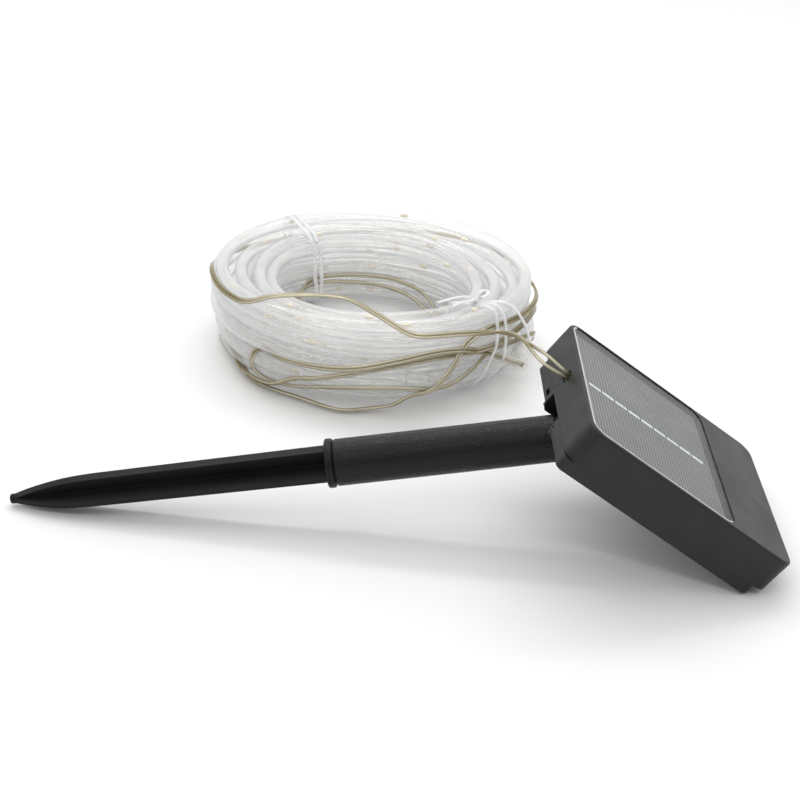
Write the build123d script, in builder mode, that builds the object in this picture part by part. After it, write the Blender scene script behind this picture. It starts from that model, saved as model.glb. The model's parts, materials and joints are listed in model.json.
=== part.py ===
from build123d import *
import math
import os

os.makedirs("parts", exist_ok=True)

# Solar tube lights lying on a bench: a solar head, its stem and ground spike, and beside them
# a tied coil of clear tube with the lamps inside.  Millimetres, bench at Z = 0, +X from the
# spike's tip towards the head, +Y towards the coil.

# ---------------------------------------------------------------- driving dimensions
HEAD_LENGTH = 110.0          # along the panel
HEAD_WIDTH = 95.0
SHELL_DEPTH = 16.6           # front shell, front face to open back
HEAD_DEPTH = 22.8            # front face to the back of the rear cover
WALL = 2.0
FACE = 3.4                   # front wall, thick enough for the two pockets
CORNER = 7.0                 # radius of the head's upright corners

HEAD_SLOPE = 34.15            # the panel falls towards +X
STEM_SLOPE = 10.85            # the stem falls towards -X; together they make the 45 degree tilt
HEAD_X = 74.21               # the head's cable edge, with the whole object centred on X = 0

STEM_Y = -6.0                # stem and hinge stand a little off the head's middle
PIN_A = 22.0                 # hinge pin, along the panel from the cable edge
PIN_T = 17.0                 # hinge pin, behind the front face

TUBE_R = 10.1
TUBE_BORE_R = 8.6
PLUG_R = 8.54                # push-in plugs turn in the tube's bore
TUBE_START = 16.5            # distances along the stem from the hinge pin
TUBE_END = 110.4
PLUG_LENGTH = 22.0
COLLAR_LENGTH = 3.4
SPIKE_END = 251.9

LEAD_D = 3.1                 # width of the twin lead
CABLE_Y = 6.5
CABLE_T = 7.4

COIL_X = -12.0               # middle of the lamp tube's coil
COIL_Y = 161.0
COIL_FLOOR = 1.2             # the ties pass under the coil
COIL_TOP = 50.0

# ---------------------------------------------------------------- frames of reference
slope = math.radians(HEAD_SLOPE)
rear_block_end = HEAD_LENGTH - 6.0
EDGE_LIFT = 0.39             # the lowest edge is rounded, which brings it this much nearer
head_z = rear_block_end * math.sin(slope) + HEAD_DEPTH * math.cos(slope) - EDGE_LIFT

# In the head's frame x runs along the panel, y across it and z out of the front face.
HEAD = Plane(
    origin=(HEAD_X, 0, head_z),
    x_dir=(math.cos(slope), 0, -math.sin(slope)),
    z_dir=(math.sin(slope), 0, math.cos(slope)),
)


def depth(t):
    """The plane parallel to the front face, t behind it."""
    return HEAD.offset(-t)


def in_head(a, y, t):
    """A point a along the panel, y across it and t behind the front face."""
    return HEAD.from_local_coords(Vector(a, y, -t))


def across_head(y):
    """A lengthwise plane through the head at y: x along the panel, y out of the front face."""
    return Plane(origin=in_head(0, y, 0), x_dir=HEAD.x_dir, z_dir=(0, -1, 0))


def end_wall(a):
    """A plane parallel to the cable end's wall, a inside it: x across the head, y towards the back."""
    return Plane(origin=in_head(a, 0, 0), x_dir=(0, 1, 0), z_dir=-HEAD.x_dir)


stem_fall = math.radians(STEM_SLOPE)
pin_point = in_head(PIN_A, STEM_Y, PIN_T)
STEM = Plane(
    origin=pin_point,
    x_dir=(0, 1, 0),
    z_dir=(-math.cos(stem_fall), 0, -math.sin(stem_fall)),
)


def along_stem(e):
    """The plane across the stem, e from the hinge pin."""
    return STEM.offset(e)


head_upright = Axis(HEAD.origin, HEAD.z_dir)


def save(piece, label):
    """Label a finished piece and write its file."""
    piece.part.label = label
    export_step(piece.part, f"parts/{label}.step")


# ---------------------------------------------------------------- shared places on the head
MIDDLE = HEAD_LENGTH / 2
SCREW_SPOTS = [(9, 30), (9, -40), (97, 30), (97, -40)]
BOARD_A, BOARD_Y = 51.0, -3.0
BOARD_SIZE = (28.0, 62.0)
BOARD_T = 15.2               # front side of the circuit board
BOARD_THICK = 1.2
BOARD_SCREWS = [(41, 22), (61, -28)]
BUTTON_SPOTS = [(50, 8), (50, -16)]
WIRE_HOLE = (60, 20)

BLOCK_Y0, BLOCK_Y1 = -47.0, 36.5        # the raised block of the rear cover
BLOCK_Y = (BLOCK_Y0 + BLOCK_Y1) / 2
BLOCK_WIDTH = BLOCK_Y1 - BLOCK_Y0
BLOCK_T = SHELL_DEPTH + 0.1

NOTCH_WIDTH = 21.0           # hinge notch, one stem wide
NOTCH_START = 7.2
NOTCH_END = 32.0
NOTCH_FLOOR = 9.5
CHEEK = 2.2                  # the walls each side of the notch
EAR_HEIGHT = 2.6

BATTERY_A = 80.0             # middle of the battery, which lies across the head
BATTERY_T = 12.4
BATTERY_R = 7.1
TUB_Y0, TUB_Y1 = -37.0, 20.0
TUB_WIDTH = 15.4
DOOR_SIZE = (22.0, 62.0)
DOOR_THICK = 1.3
TUB_Y = (TUB_Y0 + TUB_Y1) / 2

WINDOW_A0, WINDOW_A1 = 1.6, 78.0
WINDOW_A = (WINDOW_A0 + WINDOW_A1) / 2
WINDOW_SIZE = (WINDOW_A1 - WINDOW_A0, 90.8)
WINDOW_R = 6.3
PANE_POCKET = 1.6
CELL_POCKET = 2.3
CELL_A = 39.75
CELL_SIZE = (70.5, 83.0)

# ---------------------------------------------------------------- front shell
with BuildPart() as front_shell:
    with BuildSketch(HEAD):
        with Locations((MIDDLE, 0)):
            RectangleRounded(HEAD_LENGTH, HEAD_WIDTH, CORNER)
    extrude(amount=-SHELL_DEPTH)
    fillet(front_shell.edges().group_by(head_upright)[-1], 1.2)
    with BuildSketch(depth(FACE)):
        with Locations((MIDDLE, 0)):
            RectangleRounded(HEAD_LENGTH - 6.4, HEAD_WIDTH - 6.4, CORNER - 3.2)
    extrude(amount=-SHELL_DEPTH, mode=Mode.SUBTRACT)
    with BuildSketch(depth(13.2)):
        with Locations((MIDDLE, 0)):
            RectangleRounded(HEAD_LENGTH - 2 * WALL, HEAD_WIDTH - 2 * WALL, CORNER - WALL)
    extrude(amount=-SHELL_DEPTH, mode=Mode.SUBTRACT)
    # posts that take the housing screws
    with BuildSketch(depth(FACE)):
        with Locations(*SCREW_SPOTS):
            Circle(3.25)
    extrude(amount=-(14.4 - FACE))
    with BuildSketch(depth(14.4)):
        with Locations(*SCREW_SPOTS):
            Circle(1.34)
    extrude(amount=9.0, mode=Mode.SUBTRACT)
    # two-step pocket: the window outside, the cell below it
    with BuildSketch(HEAD):
        with Locations((WINDOW_A, 0)):
            RectangleRounded(*WINDOW_SIZE, WINDOW_R)
    extrude(amount=-PANE_POCKET, mode=Mode.SUBTRACT)
    with BuildSketch(depth(PANE_POCKET)):
        with Locations((CELL_A, 0)):
            Rectangle(CELL_SIZE[0] + 0.4, CELL_SIZE[1] + 0.4)
    extrude(amount=-(CELL_POCKET - PANE_POCKET), mode=Mode.SUBTRACT)
    with BuildSketch(depth(CELL_POCKET)):
        with Locations(WIRE_HOLE):
            Circle(1.6)
    extrude(amount=-2.0, mode=Mode.SUBTRACT)
    # the lead's hole in the end wall, open to the back so that the lead can be laid in
    with BuildSketch(end_wall(-1)):
        with Locations((CABLE_Y, CABLE_T)):
            Circle(2.7)
        with Locations((CABLE_Y + 0.1, CABLE_T + 5)):
            Rectangle(5.4, 10.0)
    extrude(amount=-4.6, mode=Mode.SUBTRACT)
save(front_shell, "front_shell")

# ---------------------------------------------------------------- window, cell and its ribbon
with BuildPart() as window_pane:
    with BuildSketch(depth(0.4)):
        with Locations((WINDOW_A, 0)):
            RectangleRounded(WINDOW_SIZE[0] - 0.2, WINDOW_SIZE[1] - 0.2, WINDOW_R - 0.1)
    extrude(amount=-1.1)
save(window_pane, "window_pane")

with BuildPart() as solar_cell:
    with BuildSketch(depth(1.75)):
        with Locations((CELL_A, 0)):
            Rectangle(*CELL_SIZE)
    extrude(amount=-0.5)
save(solar_cell, "solar_cell")

RIBBON_PIECES = 9
RIBBON_PITCH = 7.3
RIBBON_GAP = 1.0
RIBBON_WIDTH = 1.9
RIBBON_SPOT = (38.35, -1.5)
with BuildPart() as cell_ribbon:
    with BuildSketch(depth(1.63)):
        with Locations(RIBBON_SPOT):
            with GridLocations(RIBBON_PITCH, 1, RIBBON_PIECES, 1):
                Rectangle(RIBBON_PITCH - RIBBON_GAP, RIBBON_WIDTH)
    extrude(amount=-0.12)
save(cell_ribbon, "cell_ribbon")

WIRE_R = 0.55
with BuildPart() as cell_wires:
    for side in (-1, 1):
        with BuildLine() as wire_route:
            FilletPolyline(
                in_head(60, 20 + side * 0.75, CELL_POCKET + 0.05),
                in_head(60, 20 + side * 0.75, 9.5),
                in_head(60 - 6, 20 + side * 2.5, 12.0),
                in_head(60 - 6, 20 + side * 2.5, BOARD_T),
                radius=1.8,
            )
        with BuildSketch(Plane(wire_route.line @ 0, z_dir=wire_route.line % 0)):
            Circle(WIRE_R)
        sweep(path=wire_route.line)
save(cell_wires, "cell_wires")

# ---------------------------------------------------------------- housing gasket
with BuildPart() as housing_gasket:
    with BuildSketch(depth(13.2)):
        with Locations((MIDDLE, 0)):
            RectangleRounded(HEAD_LENGTH - 4.2, HEAD_WIDTH - 4.2, CORNER - 2.1)
            RectangleRounded(HEAD_LENGTH - 6.3, HEAD_WIDTH - 6.3, CORNER - 3.15, mode=Mode.SUBTRACT)
        with Locations((0, CABLE_Y)):
            Rectangle(10, 6.2, mode=Mode.SUBTRACT)
    extrude(amount=-1.2)
save(housing_gasket, "housing_gasket")

# ---------------------------------------------------------------- rear cover
PLATE_T = 14.5               # the cover's rim sits inside the shell's open back
INNER_T = HEAD_DEPTH - WALL
block_corner = 3.0
notch_y0 = STEM_Y - NOTCH_WIDTH / 2
notch_y1 = STEM_Y + NOTCH_WIDTH / 2

with BuildPart() as rear_cover:
    with BuildSketch(depth(PLATE_T)):
        with Locations((MIDDLE, 0)):
            RectangleRounded(HEAD_LENGTH - 4.3, HEAD_WIDTH - 4.3, CORNER - 2.2)
    extrude(amount=-(SHELL_DEPTH - PLATE_T))
    with BuildSketch(depth(SHELL_DEPTH - 0.5)):
        with Locations((rear_block_end / 2, BLOCK_Y)):
            RectangleRounded(rear_block_end - 4.4, BLOCK_WIDTH - 4.4, CORNER - 2.2)
    extrude(amount=-1.0)
    with BuildSketch(depth(BLOCK_T)):
        with Locations((rear_block_end / 2, BLOCK_Y)):
            RectangleRounded(rear_block_end, BLOCK_WIDTH, block_corner)
    extrude(amount=-(HEAD_DEPTH - BLOCK_T))
    fillet(rear_cover.edges().group_by(head_upright)[0], 1.0)
    with BuildSketch(depth(PLATE_T)):
        with Locations(((4.2 + 102.0) / 2, (-43.3 + 34.5) / 2)):
            RectangleRounded(102.0 - 4.2, 34.5 + 43.3, 2.5)
    extrude(amount=-(INNER_T - PLATE_T), mode=Mode.SUBTRACT)
    # hinge notch: a tub sunk into the cover, with an ear raised on each side
    with BuildSketch(depth(NOTCH_FLOOR - WALL)):
        with Locations(((NOTCH_START - 1.8 + NOTCH_END + CHEEK) / 2, STEM_Y)):
            Rectangle(NOTCH_END + CHEEK - NOTCH_START + 1.8, NOTCH_WIDTH + 2 * CHEEK)
    extrude(amount=-(INNER_T - NOTCH_FLOOR + WALL + 0.5))
    for ear_y in (notch_y0, notch_y1 + CHEEK):
        with BuildSketch(across_head(ear_y)):
            with BuildLine():
                Polyline((0.6, -21.0), (0.6, -24.0))
                RadiusArc((0.6, -24.0), (2.2, -HEAD_DEPTH - EAR_HEIGHT), 1.7)
                Line((2.2, -HEAD_DEPTH - EAR_HEIGHT), (27.0, -HEAD_DEPTH - EAR_HEIGHT))
                Polyline((27.0, -HEAD_DEPTH - EAR_HEIGHT), (33.0, -21.0), (0.6, -21.0))
            make_face()
        extrude(amount=CHEEK)
    with BuildSketch(depth(NOTCH_FLOOR)):
        with Locations(((NOTCH_START + NOTCH_END) / 2, STEM_Y)):
            Rectangle(NOTCH_END - NOTCH_START, NOTCH_WIDTH)
    extrude(amount=-30, mode=Mode.SUBTRACT)
    with BuildSketch(depth(SHELL_DEPTH + 0.05)):
        with Locations((NOTCH_START / 2, STEM_Y)):
            Rectangle(NOTCH_START + 2.0, NOTCH_WIDTH)
    extrude(amount=-30, mode=Mode.SUBTRACT)
    with BuildSketch(across_head(notch_y1 + CHEEK + 1)):
        with Locations((PIN_A, -PIN_T)):
            Circle(2.05)
    extrude(amount=NOTCH_WIDTH + 2 * CHEEK + 2, mode=Mode.SUBTRACT)
    # the tongue that closes the lead's slot, the snap window and the small drain hole
    with BuildSketch(depth(10.3)):
        with Locations((1.45, CABLE_Y - 0.05)):
            Rectangle(2.9, 4.9)
    extrude(amount=-(SHELL_DEPTH + 0.8 - 10.3))
    with BuildSketch(end_wall(-0.5)):
        with Locations((9.8, 19.7)):
            Rectangle(4.8, 2.2)
        with Locations((notch_y0 - 1.6, 20.4)):
            Circle(0.7)
    extrude(amount=-1.8, mode=Mode.SUBTRACT)
    # battery tub with a rebate for its door
    with BuildSketch(depth(4.2)):
        with Locations((BATTERY_A, TUB_Y)):
            Rectangle(TUB_WIDTH + 3.0, TUB_Y1 - TUB_Y0 + 3.0)
    extrude(amount=-(INNER_T - 4.2 + 0.5))
    with BuildSketch(depth(5.2)):
        with Locations((BATTERY_A, TUB_Y)):
            Rectangle(TUB_WIDTH, TUB_Y1 - TUB_Y0)
    extrude(amount=-30, mode=Mode.SUBTRACT)
    with BuildSketch(depth(HEAD_DEPTH - DOOR_THICK - 0.1)):
        with Locations((BATTERY_A, TUB_Y)):
            RectangleRounded(DOOR_SIZE[0] + 0.5, DOOR_SIZE[1] + 0.5, 2.2)
    extrude(amount=-10, mode=Mode.SUBTRACT)
    # screw bosses, counterbored from the back
    with BuildSketch(depth(14.5)):
        with Locations(*SCREW_SPOTS):
            Circle(3.9)
    extrude(amount=-(HEAD_DEPTH - 1.0 - 14.5))
    with BuildSketch(depth(HEAD_DEPTH + 1)):
        with Locations(*SCREW_SPOTS):
            Circle(3.0)
    extrude(amount=5.0, mode=Mode.SUBTRACT)
    with BuildSketch(depth(HEAD_DEPTH)):
        with Locations(*SCREW_SPOTS):
            Circle(1.5)
    extrude(amount=12.0, mode=Mode.SUBTRACT)
    # button holes and the posts under the circuit board
    with BuildSketch(depth(HEAD_DEPTH + 1)):
        with Locations(*BUTTON_SPOTS):
            Circle(4.8)
    extrude(amount=4.0, mode=Mode.SUBTRACT)
    with BuildSketch(depth(BOARD_T + BOARD_THICK + 0.05)):
        with Locations(*BOARD_SCREWS):
            Circle(2.6)
    extrude(amount=-(INNER_T - BOARD_T - BOARD_THICK + 0.5))
    with BuildSketch(depth(BOARD_T + BOARD_THICK)):
        with Locations(*BOARD_SCREWS):
            Circle(0.95)
    extrude(amount=-4.0, mode=Mode.SUBTRACT)
save(rear_cover, "rear_cover")

# ---------------------------------------------------------------- battery door
with BuildPart() as battery_door:
    with BuildSketch(depth(HEAD_DEPTH - DOOR_THICK)):
        with Locations((BATTERY_A, TUB_Y)):
            RectangleRounded(*DOOR_SIZE, 2.0)
    extrude(amount=-DOOR_THICK)
    with BuildSketch(depth(HEAD_DEPTH)):
        with Locations((BATTERY_A, TUB_Y1 - 2)):
            with GridLocations(1, 2.4, 1, 4):
                SlotOverall(12, 1.0)
    extrude(amount=0.4, mode=Mode.SUBTRACT)
    # a low rim that drops into the tub's mouth
    with BuildSketch(depth(HEAD_DEPTH - DOOR_THICK)):
        with Locations((BATTERY_A, TUB_Y)):
            Rectangle(TUB_WIDTH - 0.8, TUB_Y1 - TUB_Y0 - 0.8)
            Rectangle(TUB_WIDTH - 2.6, TUB_Y1 - TUB_Y0 - 2.6, mode=Mode.SUBTRACT)
    extrude(amount=1.2)
save(battery_door, "battery_door")

# ---------------------------------------------------------------- battery and its contacts
BATTERY_Y0, BATTERY_Y1 = -31.2, 17.4


def across_battery(y):
    """A plane square to the battery's axis, looking along +Y."""
    return Plane(in_head(BATTERY_A, y, BATTERY_T), x_dir=HEAD.x_dir, z_dir=(0, 1, 0))


with BuildPart() as battery:
    with BuildSketch(across_battery(BATTERY_Y0)):
        Circle(BATTERY_R)
    extrude(amount=BATTERY_Y1 - BATTERY_Y0)
    fillet(battery.edges(), 0.5)
    with BuildSketch(across_battery(BATTERY_Y1)):
        Circle(2.75)
    extrude(amount=1.4)
save(battery, "battery")

with BuildPart() as contact_plates:
    for plate_y in (TUB_Y0 + 0.1, TUB_Y1 - 0.5):
        with BuildSketch(across_battery(plate_y)):
            RectangleRounded(11, 11, 1.5)
        extrude(amount=0.4)
save(contact_plates, "contact_plates")

SPRING_WIRE_R = 0.35
spring_start = TUB_Y0 + 0.5 + SPRING_WIRE_R + 0.05
spring_rise = BATTERY_Y0 - SPRING_WIRE_R - 0.05 - spring_start
with BuildPart() as contact_spring:
    with BuildLine() as spring_path:
        Helix(
            pitch=spring_rise / 3,
            height=spring_rise,
            radius=3.6,
            center=in_head(BATTERY_A, spring_start, BATTERY_T),
            direction=(0, 1, 0),
        )
    with BuildSketch(Plane(spring_path.line @ 0, z_dir=spring_path.line % 0)):
        Circle(SPRING_WIRE_R)
    sweep(path=spring_path.line, is_frenet=True)
save(contact_spring, "contact_spring")

# ---------------------------------------------------------------- circuit board and what is on it
with BuildPart() as circuit_board:
    with BuildSketch(depth(BOARD_T)):
        with Locations((BOARD_A, BOARD_Y)):
            Rectangle(*BOARD_SIZE)
        with Locations(*BOARD_SCREWS):
            Circle(1.15, mode=Mode.SUBTRACT)
    extrude(amount=-BOARD_THICK)
save(circuit_board, "circuit_board")

with BuildPart() as driver_chip:
    with BuildSketch(depth(BOARD_T)):
        with Locations((48, 2)):
            Rectangle(6, 8)
    extrude(amount=1.6)
save(driver_chip, "driver_chip")

with BuildPart() as boost_choke:
    with BuildSketch(depth(BOARD_T)):
        with Locations((56, -12)):
            Circle(3.5)
    extrude(amount=5.0)
save(boost_choke, "boost_choke")

with BuildPart() as board_switches:
    with BuildSketch(depth(BOARD_T + BOARD_THICK)):
        with Locations(*BUTTON_SPOTS):
            Rectangle(6, 6)
    extrude(amount=-2.0)
    with BuildSketch(depth(BOARD_T + BOARD_THICK + 2.0)):
        with Locations(*BUTTON_SPOTS):
            Circle(1.6)
    extrude(amount=-0.6)
save(board_switches, "board_switches")


def cap_screws(spots, head_t, head_r, head_h, shank_r, shank_l, slot):
    """Cross-slotted screws standing in the head with their heads towards the back."""
    with BuildPart() as screws:
        with BuildSketch(depth(head_t)):
            with Locations(*spots):
                Circle(head_r)
        extrude(amount=-head_h)
        with BuildSketch(depth(head_t)):
            with Locations(*spots):
                Circle(shank_r)
        extrude(amount=shank_l)
        with BuildSketch(depth(head_t + head_h)):
            with Locations(*spots):
                Rectangle(slot, slot / 4)
                Rectangle(slot / 4, slot)
        extrude(amount=head_h / 2, mode=Mode.SUBTRACT)
    return screws


housing_screws = cap_screws(SCREW_SPOTS, HEAD_DEPTH - 4.0, 2.6, 1.8, 1.3, 12.0, 3.0)
save(housing_screws, "housing_screws")

with BuildPart() as board_screws:
    with BuildSketch(depth(BOARD_T)):
        with Locations(*BOARD_SCREWS):
            Circle(1.7)
    extrude(amount=1.2)
    with BuildSketch(depth(BOARD_T)):
        with Locations(*BOARD_SCREWS):
            Circle(0.9)
    extrude(amount=-4.5)
save(board_screws, "board_screws")

# ---------------------------------------------------------------- buttons
BUTTON_PROUD = 0.5


def push_button(spot):
    """A domed rubber cap with the flange that keeps it in the cover."""
    with BuildPart() as button:
        with BuildSketch(depth(20.0)):
            with Locations(spot):
                Circle(5.8)
        extrude(amount=-0.7)
        with BuildSketch(depth(20.7)):
            with Locations(spot):
                Circle(4.45)
        extrude(amount=-(HEAD_DEPTH + BUTTON_PROUD - 20.7))
        fillet(button.edges().group_by(head_upright)[0], 0.4)
        with BuildSketch(depth(20.0)):
            with Locations(spot):
                Circle(1.5)
        extrude(amount=0.2)
    return button


power_button = push_button(BUTTON_SPOTS[0])
save(power_button, "power_button")

mode_button = push_button(BUTTON_SPOTS[1])
save(mode_button, "mode_button")

# ---------------------------------------------------------------- cable grommet
with BuildPart() as cable_grommet:
    with BuildSketch(end_wall(0.6)):
        with Locations((CABLE_Y, CABLE_T)):
            Circle(2.65)
    extrude(amount=-4.4)
    with BuildSketch(end_wall(3.5)):
        with Locations((CABLE_Y, CABLE_T)):
            Circle(4.0)
    extrude(amount=-1.5)
save(cable_grommet, "cable_grommet")

# ---------------------------------------------------------------- hinge
HINGE_PLANE = across_head(STEM_Y)
BARREL_R = 7.0
BARREL_WIDTH = NOTCH_WIDTH - 1.4

with BuildPart() as hinge_knuckle:
    with BuildSketch(HINGE_PLANE):
        with Locations((PIN_A, -PIN_T)):
            Circle(BARREL_R)
    extrude(amount=BARREL_WIDTH / 2, both=True)
    with BuildSketch(along_stem(3.0)):
        Circle(7.4)
    extrude(amount=TUBE_START - 1.0 - 3.0)
    # shoulder that the tube's end meets, then the plug inside the tube
    with BuildSketch(along_stem(TUBE_START - 1.6)):
        Circle(9.4)
    extrude(amount=1.5)
    with BuildSketch(along_stem(TUBE_START - 0.5)):
        Circle(PLUG_R)
    extrude(amount=PLUG_LENGTH)
    with BuildSketch(HINGE_PLANE):
        with Locations((PIN_A, -PIN_T)):
            Circle(2.06)
    extrude(amount=BARREL_WIDTH, both=True, mode=Mode.SUBTRACT)
save(hinge_knuckle, "hinge_knuckle")

with BuildPart() as hinge_bolt:
    with BuildSketch(across_head(notch_y1 + CHEEK + 4.2)):
        with Locations((PIN_A, -PIN_T)):
            Circle(2.0)
    extrude(amount=NOTCH_WIDTH + 2 * CHEEK + 5.2)
    with BuildSketch(across_head(notch_y0 - CHEEK - 0.1)):
        with Locations((PIN_A, -PIN_T)):
            Circle(3.5)
    extrude(amount=2.4)
save(hinge_bolt, "hinge_bolt")

with BuildPart() as hinge_nut:
    with BuildSketch(across_head(notch_y1 + CHEEK + 3.3)):
        with Locations((PIN_A, -PIN_T)):
            RegularPolygon(3.9, 6)
            Circle(2.03, mode=Mode.SUBTRACT)
    extrude(amount=3.2)
save(hinge_nut, "hinge_nut")

with BuildPart() as friction_washers:
    for washer_y in (STEM_Y + BARREL_WIDTH / 2 + 0.6, STEM_Y - BARREL_WIDTH / 2 - 0.1):
        with BuildSketch(across_head(washer_y)):
            with Locations((PIN_A, -PIN_T)):
                Circle(5.5)
                Circle(2.1, mode=Mode.SUBTRACT)
        extrude(amount=0.5)
save(friction_washers, "friction_washers")

# ---------------------------------------------------------------- stem tube
with BuildPart() as stem_tube:
    with BuildSketch(along_stem(TUBE_START)):
        Circle(TUBE_R)
        Circle(TUBE_BORE_R, mode=Mode.SUBTRACT)
    extrude(amount=TUBE_END - TUBE_START)
    ends = stem_tube.edges().filter_by(GeomType.CIRCLE).group_by(SortBy.RADIUS)[-1]
    fillet(ends, 0.5)
save(stem_tube, "stem_tube")

# ---------------------------------------------------------------- ground spike
BLADE_R = 9.4                # from the spike's axis to a blade's edge
BLADE_THICK = 3.0
BLADE_TURN = 28.0            # the blades' turn about the spike's axis
OGIVE = 54.0                 # length of the pointed end
NIB_R = 1.6                  # half height of a blade where it meets the nib
CORE_R = 2.2                 # the rod through the blades ends in the nib
COLLAR_R = 10.6
collar_start = TUBE_END + 0.6
blade_start = collar_start + COLLAR_LENGTH
nib_e = SPIKE_END - 2.4

with BuildPart() as ground_spike:
    with BuildSketch(along_stem(collar_start)):
        Circle(COLLAR_R)
    extrude(amount=COLLAR_LENGTH)
    fillet(ground_spike.edges(), 0.9)
    with BuildSketch(along_stem(TUBE_END - PLUG_LENGTH)):
        Circle(PLUG_R)
    extrude(amount=PLUG_LENGTH + 1.0)
    chamfer(ground_spike.edges().filter_by(GeomType.CIRCLE).sort_by(Axis(STEM.origin, STEM.z_dir))[0], 1.0)
    for turn in (45.0, 135.0):
        blade_angle = math.radians(turn + BLADE_TURN)
        outward = Vector(0, math.cos(blade_angle), 0) + STEM.y_dir * math.sin(blade_angle)
        blade_plane = Plane(STEM.origin, x_dir=STEM.z_dir, z_dir=STEM.z_dir.cross(outward))
        with BuildSketch(blade_plane):
            with BuildLine():
                Polyline((nib_e, 0), (blade_start - 0.5, 0), (blade_start - 0.5, BLADE_R))
                Line((blade_start - 0.5, BLADE_R), (SPIKE_END - OGIVE, BLADE_R - 0.9))
                Spline(
                    (SPIKE_END - OGIVE, BLADE_R - 0.9),
                    (SPIKE_END - 0.45 * OGIVE, 0.79 * BLADE_R),
                    (nib_e, NIB_R),
                    tangents=((1, -0.03), (1, -0.42)),
                )
                Line((nib_e, NIB_R), (nib_e, 0))
            make_face()
            mirror(about=Plane.XZ)
        extrude(amount=BLADE_THICK / 2, both=True)
    with BuildSketch(along_stem(blade_start - 0.5)):
        Circle(CORE_R)
    extrude(amount=SPIKE_END - blade_start + 0.5)
    spike_point = ground_spike.edges().filter_by(GeomType.CIRCLE).sort_by(Axis(STEM.origin, STEM.z_dir))[-1]
    fillet(spike_point, 0.9)
save(ground_spike, "ground_spike")

# ---------------------------------------------------------------- coil, ties and lead
LAMP_OUTER = (83.0, 77.0)    # half lengths of the coil's oval
LAMP_INNER = (52.0, 46.0)
LEAD_OUTER = (88.0, 82.0)
LEAD_INNER = (83.2, 77.2)

with BuildPart() as lamp_coil:
    with BuildSketch(Plane.XY.offset(COIL_FLOOR)):
        with Locations((COIL_X, COIL_Y)):
            Ellipse(*LAMP_OUTER)
            Ellipse(*LAMP_INNER, mode=Mode.SUBTRACT)
    extrude(amount=COIL_TOP - COIL_FLOOR)
    fillet(lamp_coil.edges().group_by(Axis.Z)[-1], 9.0)
save(lamp_coil, "lamp_coil")

with BuildPart() as lead_loops:
    with BuildSketch(Plane.XY.offset(COIL_FLOOR)):
        with Locations((COIL_X, COIL_Y)):
            Ellipse(*LEAD_OUTER)
            Ellipse(*LEAD_INNER, mode=Mode.SUBTRACT)
    extrude(amount=COIL_TOP - COIL_FLOOR)
save(lead_loops, "lead_loops")

# The lead's free stretch, from the grommet to the coil, point by point.
LEAD_ROUTE = [
    (70.55, 6.5, 70.4),
    (60.2, 6.5, 77.4),
    (53.5, 17.5, 79.2),
    (51.0, 33.0, 74.5),
    (47.5, 51.0, 67.0),
    (39.5, 66.5, 58.5),
    (25.5, 78.0, 51.0),
    (8.0, 82.5, 45.5),
]


def bend_radii(points):
    """One arc radius for each corner: 0.45 of the shorter run over the tangent of half the turn."""
    radii = []
    for before, here, after in zip(points, points[1:], points[2:]):
        run_in = Vector(*here) - Vector(*before)
        run_out = Vector(*after) - Vector(*here)
        half_turn = math.radians(run_in.get_angle(run_out)) / 2
        radii.append(0.45 * min(run_in.length, run_out.length) / math.tan(half_turn))
    return radii


lead_radii = bend_radii(LEAD_ROUTE)
print("lead radii:", [round(radius, 1) for radius in lead_radii])

with BuildPart() as lead_run:
    with BuildLine() as lead_path:
        FilletPolyline(*LEAD_ROUTE, radius=lead_radii)
    with BuildSketch(Plane(lead_path.line @ 0, z_dir=lead_path.line % 0)):
        Circle(LEAD_D / 2)
    sweep(path=lead_path.line)
save(lead_run, "lead_run")
lead_length = lead_path.wires()[0].length
lead_section = math.pi * LEAD_D**2 / 4
print("lead length", round(lead_length, 1))
print("volume", round(lead_run.part.volume, 1), "section x length", round(lead_section * lead_length, 1))


def oval_frame(angle, semi_axes, z):
    """A plane on the coil's oval at an angle: x outwards, z along the tube."""
    turn = math.radians(angle)
    place = Vector(COIL_X + semi_axes[0] * math.cos(turn), COIL_Y + semi_axes[1] * math.sin(turn), z)
    along = Vector(-semi_axes[0] * math.sin(turn), semi_axes[1] * math.cos(turn), 0)
    outward = along.cross(Vector(0, 0, 1)).normalized()
    return Plane(place, x_dir=outward, z_dir=along)


CAP_OVAL = (84.0, 78.0)
CAP_ROUND = 1.4


def capsule(angle, z, radius, length):
    """A round-ended cap lying along the coil's outer face."""
    frame = oval_frame(angle, CAP_OVAL, z)
    with BuildPart() as cap:
        with BuildSketch(frame.offset(-length / 2)):
            Circle(radius)
        extrude(amount=length)
        fillet(cap.edges().filter_by(GeomType.CIRCLE), CAP_ROUND)
    return cap


lead_splice = capsule(-31.0, 17.0, 3.9, 18.0)
save(lead_splice, "lead_splice")

tube_end_cap = capsule(-69.0, 20.0, 3.8, 10.0)
save(tube_end_cap, "tube_end_cap")

TIE_THICK = 1.0


def coil_tie(angle, width):
    """A flat strap closed around the coil's section."""
    middle = ((LEAD_OUTER[0] + LAMP_INNER[0]) / 2, (LEAD_OUTER[1] + LAMP_INNER[1]) / 2)
    span = LEAD_OUTER[0] - LAMP_INNER[0] + 0.8
    inner_height = COIL_TOP - COIL_FLOOR + 0.4
    frame = oval_frame(angle, middle, (inner_height + 2 * TIE_THICK) / 2)
    with BuildPart() as tie:
        with BuildSketch(frame):
            RectangleRounded(span + 2 * TIE_THICK, inner_height + 2 * TIE_THICK, 3.0)
            RectangleRounded(span, inner_height, 2.0, mode=Mode.SUBTRACT)
        extrude(amount=width / 2, both=True)
    return tie


left_tie = coil_tie(125.0, 3.0)
save(left_tie, "left_tie")

right_tie = coil_tie(-38.0, 3.0)
save(right_tie, "right_tie")
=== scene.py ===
import json
import math
import random

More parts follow.
